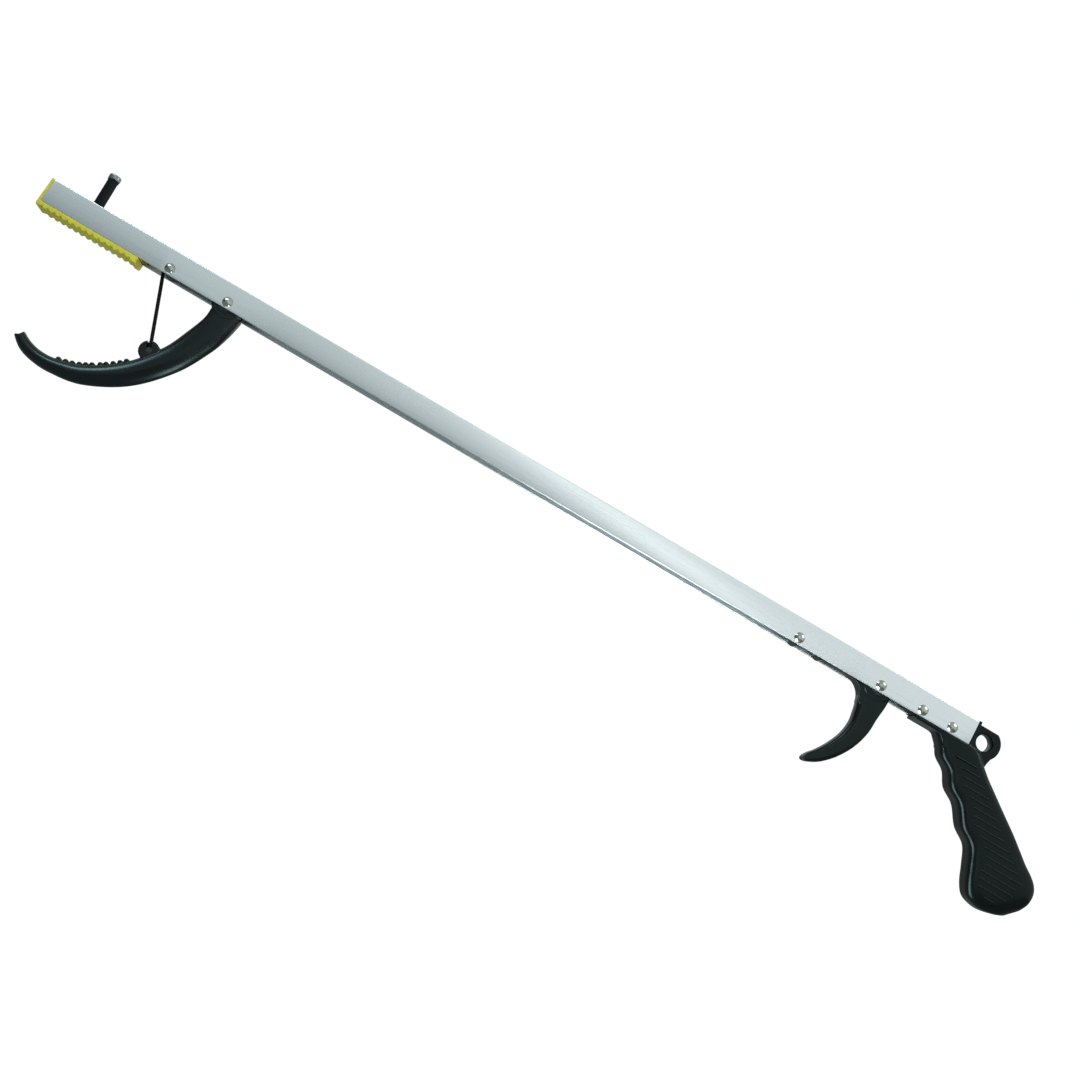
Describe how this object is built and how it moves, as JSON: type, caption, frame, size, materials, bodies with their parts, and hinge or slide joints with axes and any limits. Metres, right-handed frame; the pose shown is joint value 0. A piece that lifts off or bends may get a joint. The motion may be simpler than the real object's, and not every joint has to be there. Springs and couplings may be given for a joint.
{
  "type": "reacher grabber",
  "caption": "Hand-held reacher: squeezing the pistol grip's trigger pulls a cord along an open aluminium channel and closes a hooked jaw against a padded tip, beside a magnet on a peg.",
  "frame": {"origin": "middle of the hang hole in the grip's lobe, on the tool's middle plane", "axes": "+X along the channel from the tip to the handle, +Y across the channel away from the rivets' domed heads, +Z from the channel's open underside to its top"},
  "size_m": [0.8825, 0.0222, 0.1522],
  "materials": {
    "aluminium_channel": "satin, extruded",
    "yellow_vinyl": "soft vinyl, slightly glossy",
    "black_peg": "moulded, fine grain",
    "plated_screw": "zinc plated",
    "cup_steel": "dark plated",
    "magnet": "nickel plated",
    "rivet_metal": "bright, domed",
    "roller_plastic": "smooth",
    "black_jaw": "moulded, soft sheen",
    "black_trigger": "moulded, soft sheen",
    "black_grip": "moulded, fine grain",
    "bush_metal": "turned",
    "washer_nylon": "black nylon",
    "spring_wire": "drawn wire",
    "barrel_metal": "turned, blackened",
    "black_cord": "braided"
  },
  "bodies": {
    "frame": {"channel": "aluminium_channel", "tip_pad": "yellow_vinyl", "horn": "black_peg", "horn_screw": "plated_screw", "magnet_cup": "cup_steel", "magnet_disc": "magnet", "front_guide_rivet": "rivet_metal", "rear_guide_rivet": "rivet_metal", "jaw_pivot_rivet": "rivet_metal", "trigger_pivot_rivet": "rivet_metal", "grip_rivets": "rivet_metal", "grip": "black_grip", "jaw_pivot_bush": "bush_metal", "trigger_pivot_bush": "bush_metal", "jaw_washers": "washer_nylon", "trigger_washers": "washer_nylon", "jaw_return_spring": "spring_wire", "pull_cord_front": "black_cord", "pull_cord_run": "black_cord", "pull_cord_rear": "black_cord"},
    "jaw": {"jaw": "black_jaw", "jaw_cord_barrel": "barrel_metal"},
    "trigger": {"trigger": "black_trigger", "trigger_cord_barrel": "barrel_metal"},
    "front_roller": {"front_guide_roller": "roller_plastic"},
    "rear_roller": {"rear_guide_roller": "roller_plastic"}
  },
  "joints": [
    {"name": "trigger_squeeze", "type": "hinge", "parent": "frame", "child": "trigger", "pos_m": [-0.088, 0, -0.0029], "axis": [0, -1, 0], "range_deg": [0, 45], "stiffness_Nm_per_rad": 0.04, "springref_deg": -45.84, "deforming": ["pull_cord_rear"]},
    {"name": "jaw_close", "type": "hinge", "parent": "frame", "child": "jaw", "pos_m": [-0.6435, 0, -0.0029], "axis": [0, 1, 0], "range_deg": [0, 36], "stiffness_Nm_per_rad": 0.06, "springref_deg": -57.3, "deforming": ["jaw_return_spring", "pull_cord_front"]},
    {"name": "front_roller_turn", "type": "hinge", "parent": "frame", "child": "front_roller", "pos_m": [-0.6925, 0, -0.0029], "axis": [0, 1, 0], "range_deg": [0, 320]},
    {"name": "rear_roller_turn", "type": "hinge", "parent": "frame", "child": "rear_roller", "pos_m": [-0.1575, 0, -0.0029], "axis": [0, 1, 0], "range_deg": [0, 280]}
  ],
  "couplings": [
    {"joint": "jaw_close", "follows": "trigger_squeeze", "ratio": 0.8},
    {"joint": "front_roller_turn", "follows": "trigger_squeeze", "ratio": 7.05},
    {"joint": "rear_roller_turn", "follows": "trigger_squeeze", "ratio": 6.16}
  ]
}
